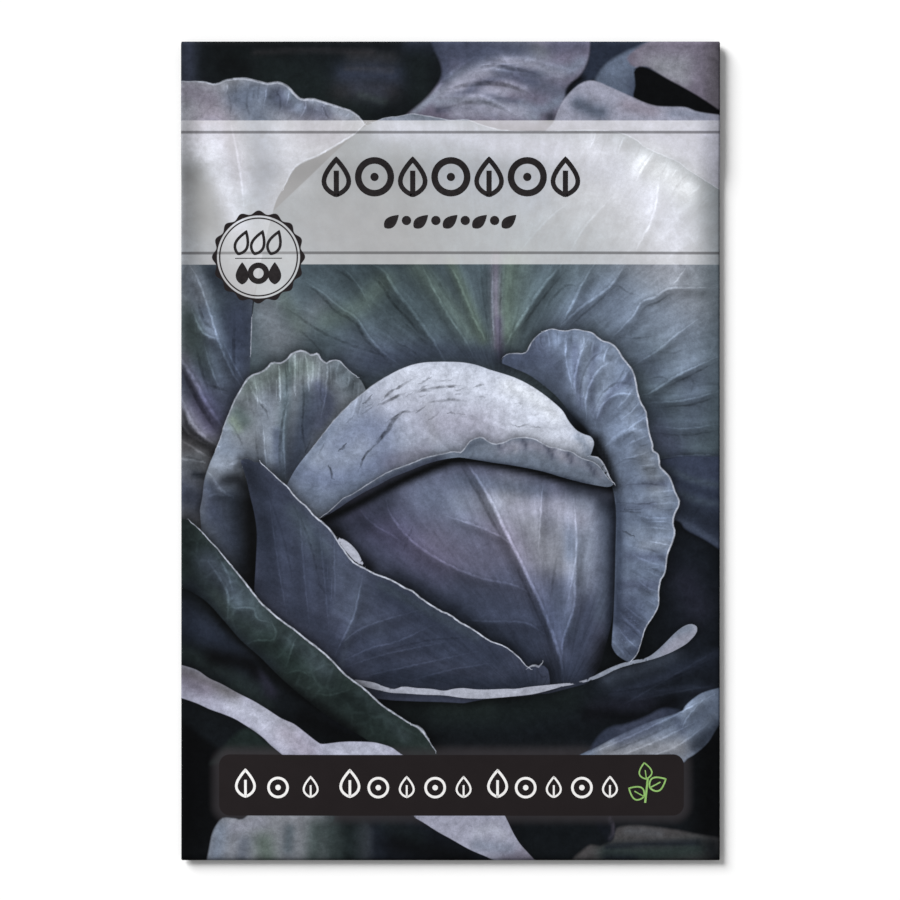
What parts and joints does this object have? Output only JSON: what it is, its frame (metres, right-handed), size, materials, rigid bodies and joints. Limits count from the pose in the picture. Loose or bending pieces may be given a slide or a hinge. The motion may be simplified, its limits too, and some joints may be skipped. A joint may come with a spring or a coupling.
{
  "type": "seed packet",
  "caption": "Flat folded paper seed packet with a printed cabbage picture on its front, glued side and top flaps on its back, and loose seeds inside.",
  "frame": {"origin": "middle of the back, on the surface that the packet lies on", "axes": "+Z out of the printed front, +Y up the printed picture towards the top flap's fold, +X to the picture's right"},
  "size_m": [0.0826, 0.1256, 0.0029],
  "materials": {
    "printed_paper": "satin printed paper",
    "dried_glue": "thin dried adhesive",
    "seed_coat": "matt seed coat"
  },
  "bodies": {
    "root": {"packet_paper": "printed_paper", "left_side_glue": "dried_glue", "right_side_glue": "dried_glue", "top_flap_glue": "dried_glue", "seed_01": "seed_coat", "seed_02": "seed_coat", "seed_03": "seed_coat", "seed_04": "seed_coat", "seed_05": "seed_coat", "seed_06": "seed_coat", "seed_07": "seed_coat", "seed_08": "seed_coat", "seed_09": "seed_coat", "seed_10": "seed_coat", "seed_11": "seed_coat", "seed_12": "seed_coat", "seed_13": "seed_coat", "seed_14": "seed_coat", "seed_15": "seed_coat", "seed_16": "seed_coat", "seed_17": "seed_coat", "seed_18": "seed_coat", "seed_19": "seed_coat", "seed_20": "seed_coat", "seed_21": "seed_coat", "seed_22": "seed_coat", "seed_23": "seed_coat", "seed_24": "seed_coat", "seed_25": "seed_coat", "seed_26": "seed_coat", "seed_27": "seed_coat", "seed_28": "seed_coat", "seed_29": "seed_coat", "seed_30": "seed_coat", "seed_31": "seed_coat", "seed_32": "seed_coat", "seed_33": "seed_coat", "seed_34": "seed_coat", "seed_35": "seed_coat", "seed_36": "seed_coat", "seed_37": "seed_coat", "seed_38": "seed_coat", "seed_39": "seed_coat", "seed_40": "seed_coat", "seed_41": "seed_coat", "seed_42": "seed_coat", "seed_43": "seed_coat", "seed_44": "seed_coat", "seed_45": "seed_coat", "seed_46": "seed_coat", "seed_47": "seed_coat", "seed_48": "seed_coat"}
  },
  "joints": []
}
